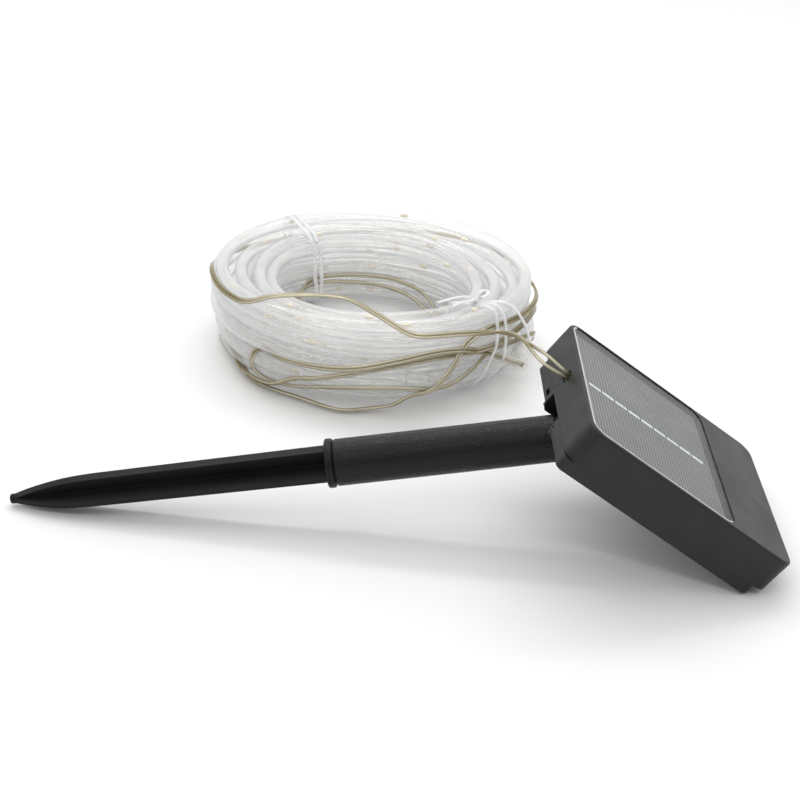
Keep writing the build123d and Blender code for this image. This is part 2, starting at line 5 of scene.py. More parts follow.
import bmesh
import bpy
import numpy as np
from mathutils import Matrix, Vector


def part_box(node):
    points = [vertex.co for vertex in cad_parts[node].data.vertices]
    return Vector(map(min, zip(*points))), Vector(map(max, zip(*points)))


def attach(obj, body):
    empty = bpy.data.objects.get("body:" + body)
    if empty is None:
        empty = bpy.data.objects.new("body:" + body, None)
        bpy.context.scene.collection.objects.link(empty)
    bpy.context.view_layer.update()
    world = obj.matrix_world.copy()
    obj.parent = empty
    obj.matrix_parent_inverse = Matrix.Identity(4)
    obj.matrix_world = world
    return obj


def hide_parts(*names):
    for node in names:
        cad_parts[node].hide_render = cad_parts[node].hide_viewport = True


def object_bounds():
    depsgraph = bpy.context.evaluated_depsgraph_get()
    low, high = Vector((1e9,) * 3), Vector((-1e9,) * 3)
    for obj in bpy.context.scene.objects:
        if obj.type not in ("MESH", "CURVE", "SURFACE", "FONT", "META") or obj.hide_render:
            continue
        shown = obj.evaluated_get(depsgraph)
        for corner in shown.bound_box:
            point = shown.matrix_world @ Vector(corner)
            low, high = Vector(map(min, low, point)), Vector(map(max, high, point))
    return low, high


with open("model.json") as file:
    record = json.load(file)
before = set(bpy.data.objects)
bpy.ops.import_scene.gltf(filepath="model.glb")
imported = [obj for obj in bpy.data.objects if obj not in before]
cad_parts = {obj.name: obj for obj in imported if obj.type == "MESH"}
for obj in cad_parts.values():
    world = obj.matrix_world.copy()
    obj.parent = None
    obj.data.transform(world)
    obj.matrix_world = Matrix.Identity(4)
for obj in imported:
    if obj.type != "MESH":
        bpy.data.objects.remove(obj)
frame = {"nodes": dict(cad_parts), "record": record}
cad_low, cad_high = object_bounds()

MM = 0.001
scene = bpy.context.scene


# -------------------------------- camera, floor and light
CAMERA_PLACE = Vector((-0.02424, -0.58469, 0.39057))
CAMERA_YAW, CAMERA_PITCH, CAMERA_ROLL = 2.37, 29.576, 4.132
CAMERA_LENS = 72.0
SKY_FRONT, SKY_BACK = 0.50, 1.20
SKY_FADE = (-0.8, 0.7)       # how far front and back the sky fades between the two
# The lights: name, place, aim, size and power. The thin ones draw the highlights along the tubes.
LIGHTS = (
    ("overhead", (0.0, 0.35, 1.3), (0, 0.05, 0), (1.4, 1.0), 3.6),
    ("strip", (0.0, 0.55, 0.95), (0, 0.1, 0), (1.3, 0.07), 2.6),
    ("front_strip", (-0.25, -0.62, 1.05), (0, 0.1, 0), (1.3, 0.06), 2.2),
)
FLOOR_HALF = 4.0
FLOOR_GAP = 0.3 * MM
FLOOR_GREY = 0.86


def make_camera():
    """A level look turned by yaw and pitch, then rolled about its own line of sight."""
    yaw, pitch, roll = (math.radians(v) for v in (CAMERA_YAW, CAMERA_PITCH, CAMERA_ROLL))
    ahead = Vector((math.sin(yaw) * math.cos(pitch), math.cos(yaw) * math.cos(pitch), -math.sin(pitch)))
    level = ahead.cross(Vector((0, 0, 1))).normalized()
    upright = level.cross(ahead)
    right = math.cos(roll) * level + math.sin(roll) * upright
    up = math.cos(roll) * upright - math.sin(roll) * level
    turn = Matrix((right, up, -ahead)).transposed()
    data = bpy.data.cameras.new("camera")
    data.lens = CAMERA_LENS
    data.clip_start, data.clip_end = 0.01, 20.0
    camera = bpy.data.objects.new("camera", data)
    scene.collection.objects.link(camera)
    camera.matrix_world = Matrix.Translation(CAMERA_PLACE) @ turn.to_4x4()
    scene.camera = camera


def area_light(name, place, aim, size, power):
    data = bpy.data.lights.new(name, "AREA")
    data.shape = "RECTANGLE"
    data.size, data.size_y = size
    data.energy = power
    light = bpy.data.objects.new(name, data)
    scene.collection.objects.link(light)
    light.location = place
    light.rotation_mode = "QUATERNION"
    light.rotation_quaternion = (Vector(aim) - Vector(place)).to_track_quat("-Z", "Y")


def make_studio():
    """A pale floor, a sky that is bright behind the object and dim in front, and the lights in LIGHTS, one
    of them overhead.
    """
    world = bpy.data.worlds.new("studio")
    scene.world = world
    world.use_nodes = True
    tree = world.node_tree
    sky = tree.nodes["Background"]
    sky.inputs["Color"].default_value = (1.0, 1.0, 1.0, 1.0)
    place = tree.nodes.new("ShaderNodeTexCoord")
    apart = tree.nodes.new("ShaderNodeSeparateXYZ")
    fade = tree.nodes.new("ShaderNodeMapRange")
    fade.inputs["From Min"].default_value = SKY_FADE[0]
    fade.inputs["From Max"].default_value = SKY_FADE[1]
    fade.inputs["To Min"].default_value = SKY_FRONT
    fade.inputs["To Max"].default_value = SKY_BACK
    tree.links.new(place.outputs["Generated"], apart.inputs[0])
    tree.links.new(apart.outputs["Y"], fade.inputs["Value"])
    tree.links.new(fade.outputs["Result"], sky.inputs["Strength"])
    for light in LIGHTS:
        area_light(*light)

    bm = bmesh.new()
    bmesh.ops.create_grid(bm, x_segments=8, y_segments=8, size=FLOOR_HALF)
    data = bpy.data.meshes.new("floor")
    bm.to_mesh(data)
    bm.free()
    floor = bpy.data.objects.new("floor", data)
    scene.collection.objects.link(floor)
    floor.location.z = cad_low.z - FLOOR_GAP
    paper = bpy.data.materials.new("paper")
    paper.use_nodes = True
    sheet = paper.node_tree.nodes["Principled BSDF"]
    sheet.inputs["Base Color"].default_value = (FLOOR_GREY, FLOOR_GREY, FLOOR_GREY, 1)
    sheet.inputs["Roughness"].default_value = 0.9
    sheet.inputs["Specular IOR Level"].default_value = 0.1
    floor.data.materials.append(paper)


# -------------------------------- mesh and curve helpers
def new_mesh(name, points, faces, material, uvs):
    """A piece from points and faces; uvs holds one pair for each corner of each face."""
    data = bpy.data.meshes.new(name)
    data.from_pydata([tuple(p) for p in points], [], faces)
    layer = data.uv_layers.new(name="UVMap")
    layer.data.foreach_set("uv", np.array(uvs, np.float32).ravel())
    data.polygons.foreach_set("use_smooth", [True] * len(data.polygons))
    data.update()
    data.validate()
    piece = bpy.data.objects.new(name, data)
    scene.collection.objects.link(piece)
    piece.data.materials.append(material)
    return piece


def spline_points(name, controls, resolution):
    """Points on the smooth NURBS line that has these control points."""
    curve = bpy.data.curves.new(name, "CURVE")
    curve.dimensions = "3D"
    curve.resolution_u = resolution
    line = curve.splines.new("NURBS")
    line.points.add(len(controls) - 1)
    for point, place in zip(line.points, controls):
        point.co = (*place, 1.0)
    line.order_u = 3
    line.use_endpoint_u = True
    carrier = bpy.data.objects.new(name, curve)
    mesh = bpy.data.meshes.new_from_object(carrier)
    points = np.array([v.co for v in mesh.vertices], float)
    bpy.data.meshes.remove(mesh)
    bpy.data.objects.remove(carrier)
    bpy.data.curves.remove(curve)
    return points


def run_lengths(line):
    """How far along the line each of its points is."""
    return np.concatenate([[0.0], np.cumsum(np.linalg.norm(np.diff(line, axis=0), axis=1))])


def directions(line):
    """The unit direction of travel at each point."""
    ahead = np.gradient(line, axis=0)
    return ahead / np.linalg.norm(ahead, axis=1)[:, None]


def side_frames(line, outward):
    """At each point, a unit vector near outward and one across it, both square to the line."""
    ahead = directions(line)
    first = outward - (outward * ahead).sum(1)[:, None] * ahead
    first /= np.linalg.norm(first, axis=1)[:, None]
    return first, np.cross(ahead, first)


def tube_geometry(line, first, second, section, along=None):
    """Points, faces and uvs of a section swept along the line, closed at both ends.
    section holds (out, across) pairs; along is each ring's place for the uvs."""
    rings, sides = len(line), len(section)
    section = np.array(section, float)
    along = run_lengths(line) if along is None else along
    points = (
        line[:, None, :]
        + first[:, None, :] * section[None, :, 0, None]
        + second[:, None, :] * section[None, :, 1, None]
    ).reshape(-1, 3)
    faces, uvs = [], []
    for ring in range(rings - 1):
        v0, v1 = along[ring], along[ring + 1]
        for side in range(sides):
            after = (side + 1) % sides
            a, b = ring * sides + side, ring * sides + after
            faces.append((a, b, b + sides, a + sides))
            u0, u1 = side / sides, (side + 1) / sides
            uvs += [(u0, v0), (u1, v0), (u1, v1), (u0, v1)]
    faces.append(tuple(range(sides - 1, -1, -1)))
    uvs += [(side / sides, along[0]) for side in range(sides - 1, -1, -1)]
    last = (rings - 1) * sides
    faces.append(tuple(range(last, last + sides)))
    uvs += [(side / sides, along[-1]) for side in range(sides)]
    return points, faces, uvs


def round_section(radius, sides, centre=(0.0, 0.0)):
    turns = [2 * math.pi * side / sides for side in range(sides)]
    return [(centre[0] + radius * math.cos(t), centre[1] + radius * math.sin(t)) for t in turns]


def joined(parts):
    """Several (points, faces, uvs) as one."""
    points, faces, uvs, base = [], [], [], 0
    for some_points, some_faces, some_uvs in parts:
        points += [tuple(p) for p in some_points]
        faces += [tuple(i + base for i in face) for face in some_faces]
        uvs += list(some_uvs)
        base += len(some_points)
    return points, faces, uvs


# -------------------------------- materials
NOISE_ROUGHNESS = 0.55
WINDOW_IOR = 1.28            # a thin coat's weak mirror
CLEAR_IOR = 1.5
BOUNCED_THROUGH = 0.45       # the share of the scattered light that passes through a clear skin
HEAD_SLOPE = math.radians(34.15)
FINGER_PITCH = 1.8 * MM


class Nodes:
    """A material being built: short calls for the nodes that the finishes share."""

    def __init__(self, name):
        self.material = bpy.data.materials.new(name)
        self.material.use_nodes = True
        self.tree = self.material.node_tree
        self.shader = self.tree.nodes["Principled BSDF"]
        self.output = self.tree.nodes["Material Output"]

    def add(self, kind, **settings):
        node = self.tree.nodes.new(kind)
        for key, value in settings.items():
            setattr(node, key, value)
        return node

    def link(self, source, target):
        self.tree.links.new(source, target)

    def set(self, **values):
        for key, value in values.items():
            name = key.replace("_", " ")
            self.shader.inputs[name].default_value = value

    def place(self, kind="Object"):
        return self.add("ShaderNodeTexCoord").outputs[kind]

    def noise(self, scale, detail=3.0, vector=None, stretch=None):
        node = self.add("ShaderNodeTexNoise")
        node.inputs["Scale"].default_value = scale
        node.inputs["Detail"].default_value = detail
        node.inputs["Roughness"].default_value = NOISE_ROUGHNESS
        source = vector if vector is not None else self.place()
        if stretch is not None:
            mapping = self.add("ShaderNodeMapping")
            mapping.inputs["Scale"].default_value = stretch
            self.link(source, mapping.inputs["Vector"])
            source = mapping.outputs["Vector"]
        self.link(source, node.inputs["Vector"])
        return node.outputs["Fac"]

    def ramp(self, value, low, high, from_low=0.3, from_high=0.7):
        """value, usually a noise, spread from low to high."""
        node = self.add("ShaderNodeMapRange")
        node.inputs["From Min"].default_value = from_low
        node.inputs["From Max"].default_value = from_high
        node.inputs["To Min"].default_value = low
        node.inputs["To Max"].default_value = high
        self.link(value, node.inputs["Value"])
        return node.outputs["Result"]

    def colours(self, value, stops):
        node = self.add("ShaderNodeValToRGB")
        ramp = node.color_ramp
        while len(ramp.elements) < len(stops):
            ramp.elements.new(0.5)
        for element, (place, colour) in zip(ramp.elements, stops):
            element.position = place
            element.color = (*colour, 1.0)
        self.link(value, node.inputs["Fac"])
        return node.outputs["Color"]

    def maths(self, operation, a, b=None):
        node = self.add("ShaderNodeMath", operation=operation)
        for socket, value in zip(node.inputs, (a, b)):
            if value is None:
                continue
            if isinstance(value, (int, float)):
                socket.default_value = value
            else:
                self.link(value, socket)
        return node.outputs[0]

    def outside(self, value):
        """value on the outside of a closed skin, and nothing on its inside."""
        geometry = self.add("ShaderNodeNewGeometry")
        return self.maths("MULTIPLY", value, self.maths("SUBTRACT", 1.0, geometry.outputs["Backfacing"]))

    def bump(self, height, strength, distance, normal=None):
        node = self.add("ShaderNodeBump")
        node.inputs["Strength"].default_value = strength
        node.inputs["Distance"].default_value = distance
        self.link(height, node.inputs["Height"])
        if normal is not None:
            self.link(normal, node.inputs["Normal"])
        return node.outputs["Normal"]


def moulded_plastic(name, dark, light, rough, grain_scale, grain_depth, grain_strength, mirror):
    """Moulded plastic: a fine spark-eroded grain, faint clouding and uneven gloss."""
    n = Nodes(name)
    cloud = n.noise(28.0, 4.0)
    fine = n.noise(grain_scale, 2.0)
    n.link(n.colours(cloud, [(0.3, dark), (0.7, light)]), n.shader.inputs["Base Color"])
    n.link(n.ramp(n.noise(60.0, 5.0), rough[0], rough[1]), n.shader.inputs["Roughness"])
    n.link(n.bump(fine, grain_strength, grain_depth), n.shader.inputs["Normal"])
    n.set(Specular_IOR_Level=mirror)
    return n.material


# Moulded plastics: darkest and lightest colour, roughness from and to, the grain's scale, depth
# in metres and strength, and how strongly the surface mirrors.
PLASTICS = {
    "shell_plastic": (
        (0.0095, 0.0095, 0.010), (0.0135, 0.0135, 0.014), (0.42, 0.52), 2600.0, 0.00012, 0.5, 0.38,
    ),
    "spike_plastic": (
        (0.004, 0.004, 0.0043), (0.007, 0.007, 0.0073), (0.36, 0.48), 900.0, 0.00005, 0.25, 0.22,
    ),
    "black_plastic": ((0.008, 0.008, 0.008), (0.013, 0.013, 0.013), (0.4, 0.52), 1500.0, 0.00006, 0.4, 0.5),
    "black_rubber": ((0.008, 0.008, 0.008), (0.014, 0.014, 0.014), (0.62, 0.8), 2000.0, 0.00008, 0.5, 0.5),
    "battery_wrap": ((0.02, 0.16, 0.07), (0.03, 0.22, 0.10), (0.25, 0.4), 700.0, 0.00003, 0.2, 0.5),
    "board_green": ((0.01, 0.09, 0.03), (0.02, 0.14, 0.05), (0.3, 0.5), 500.0, 0.00004, 0.3, 0.5),
    "wire_red": ((0.45, 0.02, 0.02), (0.55, 0.03, 0.03), (0.35, 0.5), 900.0, 0.00003, 0.2, 0.5),
}


def finish_stem():
    """The tube has a coarser leather grain that breaks its sheen into flecks."""
    n = Nodes("stem_plastic")
    cells = n.add("ShaderNodeTexVoronoi", feature="SMOOTH_F1")
    cells.inputs["Scale"].default_value = 1150.0
    n.link(n.place(), cells.inputs["Vector"])
    fine = n.noise(2400.0, 3.0)
    cloud = n.noise(30.0, 4.0)
    tone = n.colours(cloud, [(0.3, (0.0055, 0.0055, 0.006)), (0.7, (0.0085, 0.0085, 0.009))])
    n.link(tone, n.shader.inputs["Base Color"])
    n.set(Specular_IOR_Level=0.24)
    n.link(n.ramp(n.noise(500.0, 3.0), 0.28, 0.46), n.shader.inputs["Roughness"])
    coarse = n.bump(cells.outputs["Distance"], 0.85, 0.00030)
    n.link(n.bump(fine, 0.3, 0.0001, coarse), n.shader.inputs["Normal"])
    return n.material


def finish_window():
    """Clear acrylic: light goes straight through it, and it mirrors more at a slant."""
    n = Nodes("window_clear")
    clear = n.add("ShaderNodeBsdfTransparent")
    clear.inputs["Color"].default_value = (0.93, 0.94, 0.94, 1)
    gloss = n.add("ShaderNodeBsdfGlossy")
    gloss.inputs["Color"].default_value = (0.9, 0.9, 0.9, 1)
    n.link(n.ramp(n.noise(150.0, 4.0), 0.09, 0.2), gloss.inputs["Roughness"])
    edge = n.add("ShaderNodeFresnel")
    edge.inputs["IOR"].default_value = WINDOW_IOR
    wave = n.bump(n.noise(90.0, 1.0), 0.08, 0.0004)
    n.link(wave, gloss.inputs["Normal"])
    mix = n.add("ShaderNodeMixShader")
    n.link(n.outside(edge.outputs[0]), mix.inputs["Fac"])
    n.link(clear.outputs[0], mix.inputs[1])
    n.link(gloss.outputs[0], mix.inputs[2])
    n.link(mix.outputs[0], n.output.inputs["Surface"])
    n.tree.nodes.remove(n.shader)
    return n.material


def panel_place(n):
    """Object coordinates turned so that X runs along the solar panel and Y across it."""
    mapping = n.add("ShaderNodeMapping", vector_type="TEXTURE")
    mapping.inputs["Rotation"].default_value = (0, HEAD_SLOPE, 0)
    n.link(n.place(), mapping.inputs["Vector"])
    return mapping.outputs["Vector"]


def finish_cell():
    """Silicon under glass, crossed by fine pale fingers that run across the head."""
    n = Nodes("cell_silicon")
    n.set(Specular_IOR_Level=0.1)
    place = panel_place(n)
    apart = n.add("ShaderNodeSeparateXYZ")
    n.link(place, apart.inputs[0])
    phase = n.maths("FRACT", n.maths("DIVIDE", apart.outputs["X"], FINGER_PITCH))
    swing = n.maths("ABSOLUTE", n.maths("SUBTRACT", phase, 0.5))
    stripe = n.ramp(swing, 0.0, 1.0, 0.22, 0.34)
    cloud = n.noise(45.0, 4.0)
    base = n.colours(cloud, [(0.3, (0.058, 0.058, 0.058)), (0.7, (0.072, 0.072, 0.072))])
    finger = n.colours(cloud, [(0.3, (0.190, 0.190, 0.190)), (0.7, (0.225, 0.225, 0.225))])
    mix = n.add("ShaderNodeMix", data_type="RGBA")
    n.link(stripe, mix.inputs["Factor"])
    n.link(base, mix.inputs["A"])
    n.link(finger, mix.inputs["B"])
    n.link(mix.outputs["Result"], n.shader.inputs["Base Color"])
    n.link(n.ramp(n.noise(60.0, 3.0), 0.3, 0.45), n.shader.inputs["Roughness"])
    n.link(n.bump(n.noise(250.0, 2.0), 0.05, 0.00002), n.shader.inputs["Normal"])
    return n.material


def metal(name, low, high, rough, metallic):
    """Metal with fine directional scratches."""
    n = Nodes(name)
    n.set(Metallic=metallic)
    cloud = n.noise(140.0, 4.0)
    n.link(n.colours(cloud, [(0.3, low), (0.7, high)]), n.shader.inputs["Base Color"])
    lines = n.noise(14.0, 4.0, stretch=(60.0, 60.0, 900.0))
    n.link(n.ramp(lines, rough[0], rough[1]), n.shader.inputs["Roughness"])
    n.link(n.bump(lines, 0.25, 0.00005), n.shader.inputs["Normal"])
    return n.material


# Metals: dullest and brightest colour, roughness from and to, and how metallic: the tinned
# ribbon's brightness is mostly a matt one.
METALS = {
    "ribbon_metal": ((0.86, 0.86, 0.86), (0.97, 0.97, 0.97), (0.4, 0.6), 0.35),
    "steel": ((0.42, 0.42, 0.43), (0.62, 0.62, 0.63), (0.25, 0.42), 1.0),
    "copper_wire": ((0.66, 0.60, 0.42), (0.86, 0.80, 0.62), (0.22, 0.38), 1.0),
}


def clear_skin(name, tint, body, see, edges, rough, cloud_scale, streak, streak_depth):
    """Clear plastic as a skin: part lets light straight through, part scatters it, and more of it scatters
    where it is seen at a slant, under a clear gloss. Streaks run along it: they vary the gloss's roughness
    and bump, and the share that scatters, which paints highlight streaks along it.
    body holds the colours at the edge and the middle, the edge one darker as a painted shade outlining the
    strand, see the share that scatters in the middle and at the edge, and edges the slants between which
    the change is made."""
    n = Nodes(name)
    clear = n.add("ShaderNodeBsdfTransparent")
    clear.inputs["Color"].default_value = (*tint, 1)
    lines = n.noise(1.0, 1.0, vector=n.place("UV"), stretch=streak)
    cloud = n.noise(cloud_scale, 3.0)
    facing = n.add("ShaderNodeLayerWeight")
    facing.inputs["Blend"].default_value = 0.5
    # the colour darkens from the middle to the slanted edges: painted shade outlining each strand
    colour = n.colours(facing.outputs["Facing"], [(edges[0], body[1]), (edges[1], body[0])])
    scatter = n.add("ShaderNodeBsdfDiffuse")
    n.link(colour, scatter.inputs["Color"])
    through = n.add("ShaderNodeBsdfTranslucent")
    n.link(colour, through.inputs["Color"])
    haze = n.add("ShaderNodeMixShader")
    haze.inputs["Fac"].default_value = BOUNCED_THROUGH
    n.link(scatter.outputs[0], haze.inputs[1])
    n.link(through.outputs[0], haze.inputs[2])
    cover = n.ramp(facing.outputs["Facing"], see[0], see[1], edges[0], edges[1])
    cover = n.maths("ADD", cover, n.ramp(cloud, -0.03, 0.04))
    # the streaks vary how much scatters in long bands along the strand: painted highlight streaks
    cover = n.maths("ADD", cover, n.ramp(lines, -streak_depth, streak_depth))
    skin = n.add("ShaderNodeMixShader")
    n.link(cover, skin.inputs["Fac"])
    n.link(clear.outputs[0], skin.inputs[1])
    n.link(haze.outputs[0], skin.inputs[2])
    gloss = n.add("ShaderNodeBsdfGlossy")
    gloss.inputs["Color"].default_value = (1, 1, 1, 1)
    n.link(n.ramp(lines, rough[0], rough[1]), gloss.inputs["Roughness"])
    n.link(n.bump(lines, 0.25, 0.0002), gloss.inputs["Normal"])
    edge = n.add("ShaderNodeFresnel")
    edge.inputs["IOR"].default_value = CLEAR_IOR
    mix = n.add("ShaderNodeMixShader")
    n.link(n.outside(edge.outputs[0]), mix.inputs["Fac"])
    n.link(skin.outputs[0], mix.inputs[1])
    n.link(gloss.outputs[0], mix.inputs[2])
    n.link(mix.outputs[0], n.output.inputs["Surface"])
    n.tree.nodes.remove(n.shader)
    return n.material


# Clear plastics, by clear_skin's own names. In each body the first colour, seen at the edges, is darker
# than the second: painted shade outlining the strands.
CLEAR_SKINS = {
    "clear_tube": dict(
        tint=(0.997, 0.997, 0.997), body=((0.66, 0.67, 0.685), (0.985, 0.988, 0.99)),
        see=(0.17, 0.66), edges=(0.20, 0.80), rough=(0.03, 0.08),
        cloud_scale=60.0, streak=(2.5, 5.0, 1.0), streak_depth=0.07,
    ),
    "lead_clear": dict(
        tint=(0.99, 0.985, 0.96), body=((0.31, 0.26, 0.12), (0.99, 0.965, 0.86)),
        see=(0.34, 0.92), edges=(0.13, 0.42), rough=(0.05, 0.12),
        cloud_scale=90.0, streak=(4.0, 12.0, 1.0), streak_depth=0.04,
    ),
    "tie_clear": dict(
        tint=(0.99, 0.99, 0.99), body=((0.82, 0.83, 0.85), (0.97, 0.975, 0.98)),
        see=(0.70, 0.92), edges=(0.25, 0.9), rough=(0.10, 0.2),
        cloud_scale=120.0, streak=(4.0, 20.0, 1.0), streak_depth=0.04,
    ),
    "cap_clear": dict(
        tint=(0.98, 0.98, 0.97), body=((0.70, 0.69, 0.64), (0.93, 0.93, 0.89)),
        see=(0.22, 0.7), edges=(0.2, 0.8), rough=(0.08, 0.16),
        cloud_scale=100.0, streak=(10.0, 30.0, 1.0), streak_depth=0.04,
    ),
}


def finish_phosphor():
    """The yellow gel over each lamp's chip."""
    n = Nodes("lamp_phosphor")
    cloud = n.noise(900.0, 3.0)
    tone = n.colours(cloud, [(0.3, (0.80, 0.69, 0.50)), (0.7, (0.92, 0.85, 0.68))])
    n.link(tone, n.shader.inputs["Base Color"])
    n.link(n.ramp(n.noise(1500.0, 2.0), 0.2, 0.4), n.shader.inputs["Roughness"])
    n.link(n.bump(n.noise(2000.0, 2.0), 0.2, 0.0001), n.shader.inputs["Normal"])
    return n.material


def make_materials():
    """Every finish, by the name of its slot in the record."""
    finishes = {
        "stem_plastic": finish_stem(),
        "window_clear": finish_window(),
        "cell_silicon": finish_cell(),
        "lamp_phosphor": finish_phosphor(),
    }
    for name, values in PLASTICS.items():
        finishes[name] = moulded_plastic(name, *values)
    for name, values in METALS.items():
        finishes[name] = metal(name, *values)
    for name, values in CLEAR_SKINS.items():
        finishes[name] = clear_skin(name, **values)
    return finishes


def dress_nodes(finishes):
    """Each CAD node gets the finish of the material slot that the record gives it."""
    slot_of = {part["node"]: part["material_slot"] for part in frame["record"]["subparts"]}
    for name, node in frame["nodes"].items():
        finish = finishes[slot_of[name]]
        if not node.material_slots:
            node.data.materials.append(finish)
        for slot in node.material_slots:
            slot.material = finish


# -------------------------------- the coil's frame
coil_low, coil_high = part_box("lamp_coil")
COIL_CENTRE = (coil_low + coil_high) / 2
COIL_OUTER = np.array([(coil_high.x - coil_low.x) / 2, (coil_high.y - coil_low.y) / 2])
COIL_BAND = 31 * MM          # from the coil's hole to its outside
COIL_FLOOR = coil_low.z
COIL_TOP = coil_high.z


def on_coil(degrees, out, z):
    """A point at an angle round the coil, out from the coil's outer oval, z above the bench."""
    turn = math.radians(degrees)
    return (
        COIL_CENTRE.x + (COIL_OUTER[0] + out) * math.cos(turn),
        COIL_CENTRE.y + (COIL_OUTER[1] + out) * math.sin(turn),
        z,
    )


# -------------------------------- lamp tube
TUBE_D = 6.5 * MM
WIRE_R = 0.06 * MM           # the two wires in the tube
WIRE_TWIST = 85 * MM
WIRE_SWAY = 1.0 * MM
WIRE_DROP = 0.9 * MM         # the wires lie on the lower side of the bore
COLUMNS, ROWS = 4, 7
POINTS_PER_TURN = 18
TUBE_START_ANGLE = -28.0
TUBE_END_ANGLE = -70.0
SPLICE_Z, CAP_Z = 17.0 * MM, 20.0 * MM
CAP_OUT = 1.0 * MM           # the splice and the end cap lie this far outside the coil's oval
END_SHARE = 0.045            # the share of a turn over which the tube's end comes out
TIE_ANGLES = (125.0, -38.0)
TIE_REACH = 24.0             # degrees each way that a tie is felt
TIE_HOLD, TIE_SQUEEZE = 0.85, 0.05
WANDER_OUT, WANDER_Z = 2.3 * MM, 1.9 * MM
ROUND_SIDES, ROUND_TOP = 0.16, 0.10     # how far the corners of the stack of turns draw in
# Where groups of turns hang out of the round section: which turns, mm out, mm up, degrees round
# the coil and its spread, level (1 the top, -1 the bench) and its spread.
SLACK = (
    ("all", -9.0, 0.0, -85, 85, -1, 0.5),
    ("outer", 5.0, 0.0, -6, 27, -0.35, 0.42),
    ("outer", 2.8, 0.0, -155, 34, -0.15, 0.40),
    ("inner", -5.5, 0.0, 182, 34, 0.85, 0.5),
    ("inner", -4.0, 0.0, 25, 40, 0.9, 0.55),
    ("outer", 1.8, 0.0, 195, 26, 0.7, 0.45),
    ("slope", 0.0, -4.0, 15, 42, 1.0, 0.5),
    ("inner", 0.0, -3.0, 182, 34, 1.0, 0.5),
    ("all", 0.0, 0.9, 165, 22, -1, 0.3),
    ("all", 0.0, 0.9, 20, 22, -1, 0.3),
)
LAMP_PITCH = 100 * MM
LAMP_HALF = (2.5 * MM, 1.25 * MM, 0.8 * MM)
LAMP_TWIST = 0.37            # of a turn, from one lamp to the next


def winding_order():
    """The places in the coil's section that the tube fills, one a turn, each beside the last:
    down the outside, to and fro inside in rows, and down the outside again."""
    order = [(0, 2), (0, 1), (0, 0)]
    for row in range(ROWS - 1):
        columns = [1, 2, 3] if row % 2 == 0 else [3, 2, 1]
        order += [(column, row) for column in columns]
    order += [(0, 6), (0, 5), (0, 4), (0, 3)]
    return order


def near(value, middle, width):
    """1 at the middle, falling smoothly to 0 well away from it."""
    return math.exp(-(((value - middle) / width) ** 2))


def near_angle(degrees, middle, width):
    return near((degrees - middle + 180.0) % 360.0 - 180.0, 0.0, width)


def tied(degrees):
    """How firmly a tie holds the turns at this angle, 0 to 1."""
    return max(near_angle(degrees, angle, TIE_REACH) for angle in TIE_ANGLES)


def slack(degrees, across, level):
    """How far a turn hangs out of the round section, (out, up) in metres.
    across is 1 outside and -1 at the hole, level 1 at the top and -1 on the bench."""
    share = {"all": 1.0, "outer": max(across, 0.0), "inner": max(-across, 0.0), "slope": (1 - across) / 2}
    out = up = 0.0
    for turns, move_out, move_up, middle, spread, height, tall in SLACK:
        weight = share[turns] * near_angle(degrees, middle, spread) * near(level, height, tall)
        out += move_out * weight
        up += move_up * weight
    return out * MM, up * MM


def lamp_controls():
    """Control points of the tube: each turn keeps its own slow wander, less where a tie holds it."""
    draw = random.Random(11)
    order = winding_order()
    wander = [
        [(draw.uniform(-1, 1), draw.uniform(0, 2 * math.pi)) for _ in range(6)]
        for _ in range(len(order) + 1)
    ]
    first_turn = TUBE_START_ANGLE / 360.0
    last_turn = len(order) - 1 + TUBE_END_ANGLE / 360.0
    steps = round((last_turn - first_turn) * POINTS_PER_TURN)
    clear = TUBE_D / 2
    middle = (COIL_FLOOR + COIL_TOP) / 2
    controls = []
    for step in range(steps + 1):
        share = step / steps
        turned = first_turn + (last_turn - first_turn) * share
        degrees = 360.0 * turned
        place = share * (len(order) - 1)
        turn = min(int(place), len(order) - 2)
        part = place - turn
        here, after = order[turn], order[turn + 1]
        column = here[0] + (after[0] - here[0]) * part
        row = here[1] + (after[1] - here[1]) * part
        square_across = 1 - 2 * column / (COLUMNS - 1)
        square_level = 2 * row / (ROWS - 1) - 1
        across = square_across * math.sqrt(1 - ROUND_SIDES * square_level**2)
        level = square_level * math.sqrt(1 - ROUND_TOP * square_across**2)
        loose = 1.0 - TIE_HOLD * tied(degrees)
        radians = math.radians(degrees)
        drift = [0.0, 0.0]
        for axis in (0, 1):
            for harmonic in (1, 2, 3):
                for weight, owner in ((1 - part, turn), (part, turn + 1)):
                    size, phase = wander[owner][axis * 3 + harmonic - 1]
                    drift[axis] += weight * size * math.sin(harmonic * radians + phase) / harmonic
        squeeze = 1 - TIE_SQUEEZE * tied(degrees)
        slack_out, slack_up = slack(degrees, across, level)
        out = -COIL_BAND / 2 + (COIL_BAND / 2 - clear) * across * squeeze
        out += slack_out + WANDER_OUT * loose * drift[0]
        z = middle + ((COIL_TOP - COIL_FLOOR) / 2 - clear) * level
        z += slack_up + WANDER_Z * loose * drift[1]
        # both ends come out to their fittings
        for end_turn, end_z in ((first_turn, SPLICE_Z), (last_turn, CAP_Z)):
            pull = near(turned, end_turn, END_SHARE)
            out += pull * (CAP_OUT - out)
            z += pull * (end_z - z)
        z = min(max(z, COIL_FLOOR + clear), COIL_TOP - clear)
        controls.append(on_coil(degrees, out, z))
    return controls


